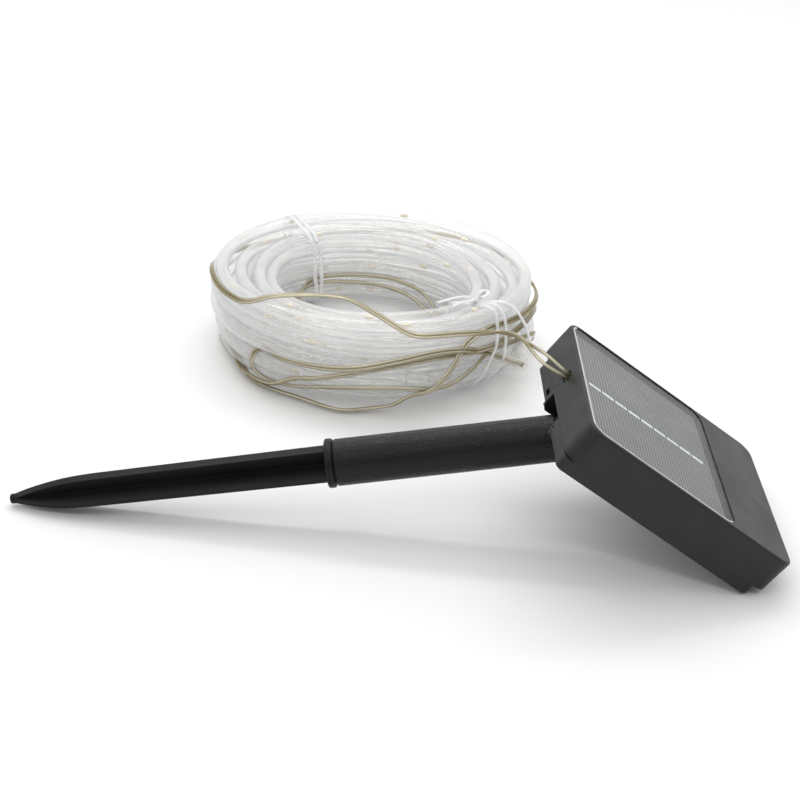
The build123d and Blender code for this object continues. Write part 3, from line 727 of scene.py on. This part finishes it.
def make_lamp_tube(finishes):
    controls = lamp_controls()
    line = spline_points("lamp_line", controls, 5)
    ahead = directions(line)
    outward = np.cross(ahead, np.array([0.0, 0.0, 1.0]))
    first, second = side_frames(line, outward)
    along = run_lengths(line)
    geometry = tube_geometry(line, first, second, round_section(TUBE_D / 2, 14), along)
    tube = new_mesh("lamp_tube", *geometry[:2], finishes["clear_tube"], geometry[2])
    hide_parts("lamp_coil")
    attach(tube, "head")

    # two bare wires twisted slowly round each other inside the tube
    parts = []
    for side in (0, 1):
        turn = 2 * math.pi * along / WIRE_TWIST + math.pi * side
        shifted = line + first * (WIRE_SWAY * np.cos(turn))[:, None]
        shifted += second * (WIRE_SWAY * np.sin(turn) - WIRE_DROP)[:, None]
        parts.append(tube_geometry(shifted, first, second, round_section(WIRE_R, 5), along))
    points, faces, uvs = joined(parts)
    wires = new_mesh("lamp_wires", points, faces, finishes["copper_wire"], uvs)
    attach(wires, "head")

    chips = make_lamps(line, first, second, along, finishes)
    return tube, wires, chips, line


def make_lamps(line, first, second, along, finishes):
    """A drop of yellow gel on the wires, one at each lamp."""
    ahead = directions(line)
    bm = bmesh.new()
    for lamp in range(int(along[-1] / LAMP_PITCH)):
        at = (lamp + 0.5) * LAMP_PITCH
        i = int(np.searchsorted(along, at))
        turn = 2 * math.pi * (lamp * LAMP_TWIST % 1.0)
        up = Vector(first[i]) * math.cos(turn) + Vector(second[i]) * math.sin(turn)
        side = Vector(ahead[i]).cross(up)
        place = Vector(line[i]) - Vector(second[i]) * WIRE_DROP
        long, wide, high = LAMP_HALF
        axes = Matrix((Vector(ahead[i]) * long, side * wide, up * high)).transposed().to_4x4()
        bmesh.ops.create_icosphere(bm, subdivisions=2, radius=1.0, matrix=Matrix.Translation(place) @ axes)
    for face in bm.faces:
        face.smooth = True
    data = bpy.data.meshes.new("lamp_chips")
    bm.to_mesh(data)
    bm.free()
    chips = bpy.data.objects.new("lamp_chips", data)
    scene.collection.objects.link(chips)
    chips.data.materials.append(finishes["lamp_phosphor"])
    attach(chips, "head")
    return chips


# -------------------------------- lead
LEAD_D = 3.1 * MM
LEAD_CORE_R = 0.42 * MM
LEAD_EXIT = (0.07055, 0.0065, 0.0704)
LEAD_ROUTE = [
    LEAD_EXIT,
    (0.0602, 0.0065, 0.0774),
    (0.0535, 0.0175, 0.0792),
    (0.0510, 0.0330, 0.0745),
    (0.0475, 0.0510, 0.0670),
    (0.0395, 0.0665, 0.0585),
    (0.0255, 0.0780, 0.0510),
    (0.0080, 0.0825, 0.0455),
]
# The lead's way round the coil: degrees round it, mm out from its outer oval, mm above the bench.
LEAD_ROUND = [
    # over the front left crest, down the left end and along the back
    (-84, -1, 51.3), (-92, -13, 52.2), (-101, -22, 52.2), (-111, -22, 52.0), (-121, -16, 52.0),
    (-130, -7, 51.4), (-139, 1.2, 48.5), (-149, 1.6, 46.2), (-161, 1.6, 44.7), (-172, 1.6, 45.0),
    (-183, 1.6, 41.5), (-194, 1.6, 36.5), (-212, 1.5, 33), (-232, 1.5, 31), (-252, 1.5, 31),
    (-272, 1.5, 33), (-292, 1.5, 36), (-312, 1.5, 38), (-330, 1.8, 38),
    # round the right end, down the front and along the bench to the left end
    (-345, 3.0, 36), (-357, 6.2, 36.5), (-369, 5.8, 38.5), (-381, 3.4, 39), (-392, 2.0, 41),
    (-405, 1.8, 43.8), (-413, 1.8, 41.5), (-418, 2.2, 35), (-423, 3.0, 26.5), (-430, 3.6, 17),
    (-436, 2.0, 9), (-441, -3, 5.2), (-446, -6, 2.6), (-452, -5, 1.7), (-458, -2.2, 1.7),
    (-464, -3, 1.7), (-475, -6.4, 1.7), (-487, -5.5, 1.7), (-498, -5, 1.8), (-508, -8.5, 2.5),
    (-518, -11, 3.2), (-527, -12, 3.0), (-537, -11, 2.2), (-546, -9, 1.2),
    # under the coil, along the back of its hole and out under it
    (-553, -9, 0.85), (-560, -13, 0.85), (-567, -20, 0.85), (-573, -28, 1.0), (-579, -34, 3.5),
    (-584, -36, 8), (-592, -35, 12), (-603, -34, 14), (-619, -33, 14.5), (-639, -33, 14),
    (-655, -33, 11.5), (-668, -34, 8), (-678, -33.5, 4.0), (-684, -30, 1.2), (-689, -22, 0.85),
    (-694, -13, 0.85), (-699, -4, 0.9), (-704, 2.5, 4), (-709, 2.5, 14), (-716, 3.0, 25),
    # round the right end again, down the front and along the bench to the left end
    (-728, 3.2, 30), (-742, 2.2, 31.5), (-754, 1.8, 31.5), (-764, 1.8, 30), (-776, 1.8, 31.5),
    (-790, 1.8, 32), (-804, 1.8, 28), (-818, 1.8, 21), (-829, 2.4, 14), (-838, 0, 8.5),
    (-846, -2.5, 5.6), (-855, -3.6, 4.8), (-864, -4.2, 4.6), (-874, -8, 4.8), (-884, -9.5, 3.4),
    (-893, -7.5, 1.8),
    # under the coil again, along its hole a little lower, and out
    (-901, -5, 0.9), (-907, -11, 0.85), (-913, -19, 0.85), (-919, -27, 1.0), (-925, -33.5, 3.0),
    (-932, -36, 6.6), (-943, -35, 9), (-958, -34, 9.5), (-976, -33, 9.5), (-996, -33, 8.5),
    (-1014, -33, 7.0), (-1030, -34, 4.6), (-1044, -34.5, 2.6), (-1053, -33, 1.4), (-1058, -28, 0.9),
    (-1063, -20, 0.85), (-1068, -11, 0.85), (-1073, -3, 0.9), (-1078, 2.6, 4), (-1083, 2.8, 12),
    (-1091, 2.6, 20),
    # along the front, back on itself at the left, and up to the sleeve
    (-1106, 2.4, 22), (-1119, 3.6, 19), (-1132, 3.6, 17), (-1146, 3.4, 16), (-1160, 3.4, 15.5),
    (-1173, 1.5, 12), (-1184, -3, 10), (-1194, -6, 8.8), (-1203, -7.5, 8.0), (-1210, -8, 8.4),
    (-1215.5, -7.5, 10.6), (-1218, -6.5, 14.6), (-1217, -5.5, 18.6), (-1212, -4, 21.8),
    (-1203, -2, 23), (-1190, 1.5, 23.6),
    (-1176, 4.4, 27), (-1161, 4.0, 33), (-1147, 3.6, 37), (-1136, 3.6, 35), (-1127, 3.8, 28),
    (-1121, 4.2, 21.0), (-1116, 4.2, 17.6), (-1111.5, 4.0, 17.0),
]
ON_TURNS = (6.5, 50.0)       # mm above the bench: between these the lead rests against the turns
SNUG = 1.6                   # mm out from the coil's oval: what is more than this stands off the turns
BESIDE = 7.0                 # degrees each way in which a turn counts as being under the lead
# The lead's two strands part a little just outside the head: how far, where, and over what length.
PART_BY, PART_AT, PART_OVER = 1.15 * MM, 13 * MM, 9 * MM
LEAD_LIFT = LEAD_D / 4 + TUBE_D / 2     # from a turn's middle to the middle of the lead on it
SECTION_MIDDLE = np.array([-COIL_BAND / 2, (COIL_FLOOR + COIL_TOP) / 2])


def coil_places(line):
    """Each point of a line as degrees round the coil, out from its outer oval, and height."""
    away = line[:, :2] - np.array(COIL_CENTRE[:2])
    turn = np.arctan2(away[:, 1] / COIL_OUTER[1], away[:, 0] / COIL_OUTER[0])
    oval = COIL_OUTER * np.stack([np.cos(turn), np.sin(turn)], axis=1)
    out = np.linalg.norm(away, axis=1) - np.linalg.norm(oval, axis=1)
    return np.degrees(turn), out, line[:, 2]


def reach(degrees, direction, turns, lift):
    """How far from the middle of the coil's section a cord lies on its turns, in a direction."""
    angle, out, z = turns
    close = np.abs((angle - degrees + 180.0) % 360.0 - 180.0) < BESIDE
    away = np.stack([out[close], z[close]], axis=1) - SECTION_MIDDLE
    ahead = away @ direction
    beside = lift**2 - ((away**2).sum(1) - ahead**2)
    touching = beside > 0
    return float((ahead[touching] + np.sqrt(beside[touching])).max()) if touching.any() else 0.0


def lead_controls(lamp_line):
    """The lead's route, and then its loops, each point set out to where it rests on the turns."""
    turns = coil_places(lamp_line)
    rests = []
    for degrees, out, z in LEAD_ROUND:
        away = np.array([out, z]) * MM - SECTION_MIDDLE
        direction = away / np.linalg.norm(away)
        rest = reach(degrees, direction, turns, LEAD_LIFT)
        rests.append((direction, rest, max(out - SNUG, 0.0) * MM))
    controls = list(LEAD_ROUTE)
    for i, (degrees, out, z) in enumerate(LEAD_ROUND):
        direction, rest, extra = rests[i]
        if not ON_TURNS[0] <= z <= ON_TURNS[1]:
            controls.append(on_coil(degrees, out * MM, z * MM))
            continue
        beside = [rests[k][1] for k in (max(i - 1, 0), min(i + 1, len(rests) - 1))]
        rest = max(rest, sum(beside) / 2)
        place = SECTION_MIDDLE + direction * (rest + extra)
        controls.append(on_coil(degrees, float(place[0]), max(float(place[1]), LEAD_D / 2)))
    return controls


def make_lead(lamp_line, finishes):
    """Flat twin lead: two clear strands side by side, a bright stranded wire in each."""
    line = spline_points("lead_line", lead_controls(lamp_line), 5)
    along = run_lengths(line)
    # the flat side lies against the coil: it faces away from the middle of the coil's band
    turn = np.arctan2(
        (line[:, 1] - COIL_CENTRE.y) / COIL_OUTER[1], (line[:, 0] - COIL_CENTRE.x) / COIL_OUTER[0]
    )
    middle = np.stack(
        [
            COIL_CENTRE.x + (COIL_OUTER[0] - COIL_BAND / 2) * np.cos(turn),
            COIL_CENTRE.y + (COIL_OUTER[1] - COIL_BAND / 2) * np.sin(turn),
            np.full(len(line), COIL_CENTRE.z),
        ],
        axis=1,
    )
    first, second = side_frames(line, line - middle)
    strand_r = LEAD_D / 4
    apart = strand_r * 0.97 + PART_BY * np.exp(-(((along - PART_AT) / PART_OVER) ** 2))
    jackets, cores = [], []
    for side in (-1, 1):
        shifted = line + second * (side * apart)[:, None]
        jackets.append(tube_geometry(shifted, first, second, round_section(strand_r, 8), along))
        cores.append(tube_geometry(shifted, first, second, round_section(LEAD_CORE_R, 6), along))
    points, faces, uvs = joined(jackets)
    lead = new_mesh("solar_lead", points, faces, finishes["lead_clear"], uvs)
    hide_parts("lead_run", "lead_loops")
    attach(lead, "head")
    points, faces, uvs = joined(cores)
    wires = new_mesh("lead_wires", points, faces, finishes["copper_wire"], uvs)
    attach(wires, "head")
    return lead, wires, line


# -------------------------------- ties, splice and end cap
TIE_WIDTH, TIE_THICK = 2.2 * MM, 0.8 * MM
TIE_STEPS = 96
BEND_SIDES = 12
LOOP_EVERY = 3               # degrees between the sections that a strap is fitted to
LOOP_DEPTH = 45 * MM         # turns further out or in than this aren't the coil's


def hull(points):
    """The convex outline of flat points, going round once."""
    points = sorted(set(map(tuple, points)))
    halves = []
    for run in (points, points[::-1]):
        side = []
        for p in run:
            while len(side) > 1:
                (ax, ay), (bx, by) = side[-2], side[-1]
                if (bx - ax) * (p[1] - ay) - (by - ay) * (p[0] - ax) > 0:
                    break
                side.pop()
            side.append(p)
        halves += side[:-1]
    return np.array(halves)


def strap_loop(degrees, cords):
    """A strap's closed line in the coil's section, pulled tight round every cord that passes:
    TIE_STEPS points of (out, z), from the hole's upper edge over the top and down the outside."""
    rim = []
    for (angle, out, z), radius in cords:
        away = (angle - degrees + 180.0) % 360.0 - 180.0
        crossing = (away[:-1] * away[1:] <= 0) & (np.abs(away[:-1]) < 20)
        crossing &= np.abs(out[:-1]) < LOOP_DEPTH
        for i in np.flatnonzero(crossing):
            share = away[i] / (away[i] - away[i + 1])
            for side in range(BEND_SIDES):
                t = 2 * math.pi * side / BEND_SIDES
                rim.append((
                    out[i] + share * (out[i + 1] - out[i]) + radius * math.cos(t),
                    max(z[i] + share * (z[i + 1] - z[i]) + radius * math.sin(t), TIE_THICK / 2),
                ))
    line = hull(rim)
    start = int(np.argmax(line[:, 1] - line[:, 0]))
    line = np.roll(line, -start, axis=0)[::-1]
    line = np.vstack([line[-1:], line])
    along = run_lengths(line)
    even = np.linspace(0, along[-1], TIE_STEPS + 1)
    even = np.stack([np.interp(even, along, line[:, axis]) for axis in (0, 1)], axis=1)[:-1]
    for _ in range(3):
        even = (np.roll(even, 1, axis=0) + 2 * even + np.roll(even, -1, axis=0)) / 4
    return even


def strap_section(width, thick, sides=12):
    """A flat strand's rounded section, (out, across)."""
    turns = [2 * math.pi * side / sides for side in range(sides)]
    square = [(math.cos(t), math.sin(t)) for t in turns]
    return [
        (thick / 2 * math.copysign(abs(c) ** 0.6, c), width / 2 * math.copysign(abs(s) ** 0.6, s))
        for c, s in square
    ]


def strand(line, outward, width=TIE_WIDTH, thick=TIE_THICK):
    first, second = side_frames(line, outward)
    return tube_geometry(line, first, second, strap_section(width, thick))


def loop_strand(cords, angles, lift):
    """A strap once round the coil. angles holds (share of the way round, degrees) pairs."""
    shares = np.arange(TIE_STEPS + 1) / TIE_STEPS
    degrees = np.interp(shares, *zip(*angles))
    loops = {
        k: strap_loop(float(k * LOOP_EVERY), cords)
        for k in range(math.floor(degrees.min() / LOOP_EVERY), math.ceil(degrees.max() / LOOP_EVERY) + 1)
    }
    loop = []
    for step, turn in enumerate(degrees / LOOP_EVERY):
        k = math.floor(turn)
        after = loops.get(k + 1, loops[k])
        loop.append(loops[k][step % TIE_STEPS] * (k + 1 - turn) + after[step % TIE_STEPS] * (turn - k))
    loop = np.array(loop)
    away = loop - SECTION_MIDDLE
    away /= np.linalg.norm(away, axis=1)[:, None]
    places = loop + away * lift
    line = np.array([on_coil(d, *p) for d, p in zip(degrees, places)])
    for _ in range(2):
        line[1:-1] = (line[:-2] + 2 * line[1:-1] + line[2:]) / 4
    inner = np.array([on_coil(d, *(p - a * 5 * MM)) for d, p, a in zip(degrees, places, away)])
    return line, line - inner


def knot_line(centre, across, up, size):
    """A small overhand knot: a trefoil lying flat."""
    side = np.cross(across, up)
    t = np.linspace(0, 2 * math.pi, 61)
    x, y = np.sin(t) + 1.6 * np.sin(2 * t), np.cos(t) - 1.6 * np.cos(2 * t)
    z = -np.sin(3 * t)
    spread = x[:, None] * across + 0.62 * y[:, None] * side + 0.5 * z[:, None] * up
    return np.array(centre) + size * spread


def loose_tail(controls, up):
    """A short strand end lying on the coil."""
    line = spline_points("tail", controls, 6)
    return strand(line, np.tile(np.array(up, float), (len(line), 1)), 1.7 * MM, 0.7 * MM)


def tie_piece(name, node, parts, finishes):
    """The strands of one tie as one piece, in the place of its CAD solid."""
    points, faces, uvs = joined(parts)
    piece = new_mesh(name, points, faces, finishes["tie_clear"], uvs)
    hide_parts(node)
    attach(piece, "head")


# Each strand of a tie: (share of the way round the section, degrees round the coil) pairs, and
# how far it lies above the turns.
LEFT_TIE = (
    (((0, 127.4), (0.12, 127.4), (0.5, 125), (0.72, 122.5), (0.85, 126.3), (1, 127.4)), 0.0),
    (((0, 123.6), (0.12, 124.2), (0.5, 123), (0.72, 121.0), (0.85, 121.5), (1, 123.6)), 0.1 * MM),
)
RIGHT_TIE = (
    (((0, -42.5), (0.10, -43), (0.2, -42), (0.35, -42), (0.5, -43.5), (1, -42.5)), 0.0),
    (((0, -42), (0.10, -43), (0.15, -40), (0.25, -37.5), (0.5, -36.5), (0.7, -40), (1, -42)), 0.3 * MM),
    (((0, -41.5), (0.10, -43), (0.15, -38), (0.22, -31), (0.3, -25), (0.42, -19), (0.5, -19),
      (0.6, -27), (0.7, -38), (1, -41.5)), 0.6 * MM),
)
KNOT_SHARE = 0.10            # where the right tie's strands meet in its knot
# The knot's two tails and its bow: degrees round the coil, mm out, mm above the turns.
KNOT_ENDS = (
    ((-45, -14.5, 1.6), (-49, -16.5, 2.2), (-53, -18.5, 1.4), (-57, -19.5, 0.6), (-61, -19.0, 0.6)),
    ((-45, -12.5, 1.2), (-48, -12.5, 0.9), (-51, -14.5, 0.4), (-54, -14.0, 0.4), (-57, -12.5, 0.4)),
    ((-41, -14.5, 2.0), (-38.5, -15.0, 2.8), (-36.6, -13.0, 2.4), (-38.5, -11.0, 1.6), (-42, -12.0, 1.0)),
)


def make_ties(lamp_line, lead_line, finishes):
    """Flat clear strands tied tight round the coil: two at the back left, three at the front right."""
    gap = TIE_THICK / 2 + 0.1 * MM
    cords = [(coil_places(lamp_line), TUBE_D / 2 + gap), (coil_places(lead_line), LEAD_D / 4 + gap)]
    left = [strand(*loop_strand(cords, angles, lift)) for angles, lift in LEFT_TIE]
    tie_piece("left_strands", "left_tie", left, finishes)

    right = []
    for angles, lift in RIGHT_TIE:
        line, outward = loop_strand(cords, angles, lift)
        right.append(strand(line, outward))
    knot_step = round(KNOT_SHARE * TIE_STEPS)
    knot_up = outward[knot_step] / np.linalg.norm(outward[knot_step])
    knot = line[knot_step] + knot_up * 0.8 * MM
    across = np.array(on_coil(-42, 0, 0)) - np.array(on_coil(-44, 0, 0))
    across /= np.linalg.norm(across)
    twist = knot_line(knot, across, knot_up, 0.95 * MM)
    right.append(strand(twist, np.tile(knot_up, (len(twist), 1)), 1.3 * MM, 1.0 * MM))
    for ends in KNOT_ENDS:
        controls = [tuple(knot)]
        controls += [on_coil(d, out * MM, COIL_TOP + (0.4 + rise) * MM) for d, out, rise in ends]
        right.append(loose_tail(controls, (0, 0, 1)))
    tie_piece("right_strands", "right_tie", right, finishes)


# A fitting's shape: (share of its length, radius in mm) pairs.
SPLICE_SHAPE = (
    (0.0, 1.2), (0.03, 1.8), (0.12, 2.1), (0.30, 2.4), (0.42, 3.4), (0.50, 3.85), (0.9, 3.75),
    (0.97, 3.6), (1.0, 3.3),
)
PLUG_SHAPE = (
    (0.0, 3.3), (0.04, 3.55), (0.50, 3.6), (0.58, 3.4), (0.66, 3.35), (0.82, 3.0), (0.94, 2.2),
    (1.0, 1.0),
)
PLUG_BEYOND = (1.5 * MM, 3.5 * MM)      # how far the plug stands out of the tube's end
SLEEVE_SIDES = 18


def sleeve(name, node, line, shape, finishes):
    """A moulded sleeve that swells and narrows along a line."""
    shares = run_lengths(line)
    size = np.interp(shares / shares[-1], *zip(*shape)) * MM
    ahead = directions(line)
    first, second = side_frames(line, np.cross(ahead, np.array([0.0, 0.0, 1.0])))
    points, faces, uvs = tube_geometry(line, first, second, round_section(1.0, SLEEVE_SIDES))
    rings = np.repeat(line, SLEEVE_SIDES, axis=0)
    points = rings + (points - rings) * np.repeat(size, SLEEVE_SIDES)[:, None]
    piece = new_mesh(name, points, faces, finishes["cap_clear"], uvs)
    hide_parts(node)
    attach(piece, "head")
    return piece


def make_fittings(lamp_line, lead_line, finishes):
    """The sleeve that joins the lead to the tube, and the plug on the tube's far end."""
    ends = [lead_line[-5], lead_line[-3], lead_line[-1], lamp_line[0], lamp_line[1]]
    line = spline_points("splice_line", [tuple(p) for p in ends], 8)
    splice = sleeve("splice_sleeve", "lead_splice", line, SPLICE_SHAPE, finishes)
    inner, end = lamp_line[-2:]
    beyond = (end - inner) / np.linalg.norm(end - inner)
    controls = [tuple(inner), tuple(end)] + [tuple(end + beyond * d) for d in PLUG_BEYOND]
    line = spline_points("cap_line", controls, 6)
    cap = sleeve("end_plug", "tube_end_cap", line, PLUG_SHAPE, finishes)
    return splice, cap


# -------------------------------- window's edge
HEAD_ORIGIN = Vector((0.07421, 0.0, 0.07686))    # the middle of the panel face's upper end
WINDOW_SPAN = (1.75 * MM, 77.85 * MM)
WINDOW_HALF = 45.25 * MM
WINDOW_ROUND = 6.2 * MM
HIGHLIGHT_STRIP_DEPTH = 0.12 * MM
HIGHLIGHT_STRIP_WIDTH, HIGHLIGHT_STRIP_THICK = 0.95 * MM, 0.6 * MM
HIGHLIGHT_STRIP_STEPS = 12
# The corners that the painted highlight strip goes round: end (0 upper, 1 lower), side, and half turns from
# and to.
HIGHLIGHT_STRIP_CORNERS = ((0, 1, 0.75, 1.0), (0, -1, 1.0, 1.5), (1, -1, 1.5, 1.75))


def in_head(a, y, t):
    """a along the panel from its upper end, y across it, t into it."""
    along = Vector((math.cos(HEAD_SLOPE), 0, -math.sin(HEAD_SLOPE)))
    inward = Vector((-math.sin(HEAD_SLOPE), 0, -math.cos(HEAD_SLOPE)))
    return HEAD_ORIGIN + along * a + Vector((0, y, 0)) + inward * t


def make_window_edge(finishes):
    """A fine pale strip along the window's upper end and its near side: a painted highlight on the two
    window edges that catch the light.
    """
    outline = []
    for end, side, begin, finish in HIGHLIGHT_STRIP_CORNERS:
        ca = WINDOW_SPAN[0] + WINDOW_ROUND if end == 0 else WINDOW_SPAN[1] - WINDOW_ROUND
        cy = side * (WINDOW_HALF - WINDOW_ROUND)
        for step in range(HIGHLIGHT_STRIP_STEPS + 1):
            t = math.pi * (begin + (finish - begin) * step / HIGHLIGHT_STRIP_STEPS)
            outline.append((ca + WINDOW_ROUND * math.cos(t), cy + WINDOW_ROUND * math.sin(t)))
    line = np.array([in_head(a, y, HIGHLIGHT_STRIP_DEPTH) for a, y in outline])
    normal = np.array(in_head(0, 0, -1) - in_head(0, 0, 0))
    first, second = side_frames(line, np.tile(normal, (len(line), 1)))
    section = strap_section(HIGHLIGHT_STRIP_WIDTH, HIGHLIGHT_STRIP_THICK, 8)
    points, faces, uvs = tube_geometry(line, first, second, section)
    # the pale strip is a painted highlight along the window's lit edges
    highlight_strip = new_mesh("window_highlight_strip", points, faces, finishes["tie_clear"], uvs)
    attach(highlight_strip, "head")


# -------------------------------- put together
make_camera()
make_studio()
finishes = make_materials()
dress_nodes(finishes)
lamp_tube, lamp_wires, lamp_chips, lamp_line = make_lamp_tube(finishes)
solar_lead, lead_wires, lead_line = make_lead(lamp_line, finishes)

make_ties(lamp_line, lead_line, finishes)
splice_sleeve, end_plug = make_fittings(lamp_line, lead_line, finishes)
make_window_edge(finishes)

scene.view_settings.view_transform = "Standard"
scene.cycles.transparent_max_bounces = 40
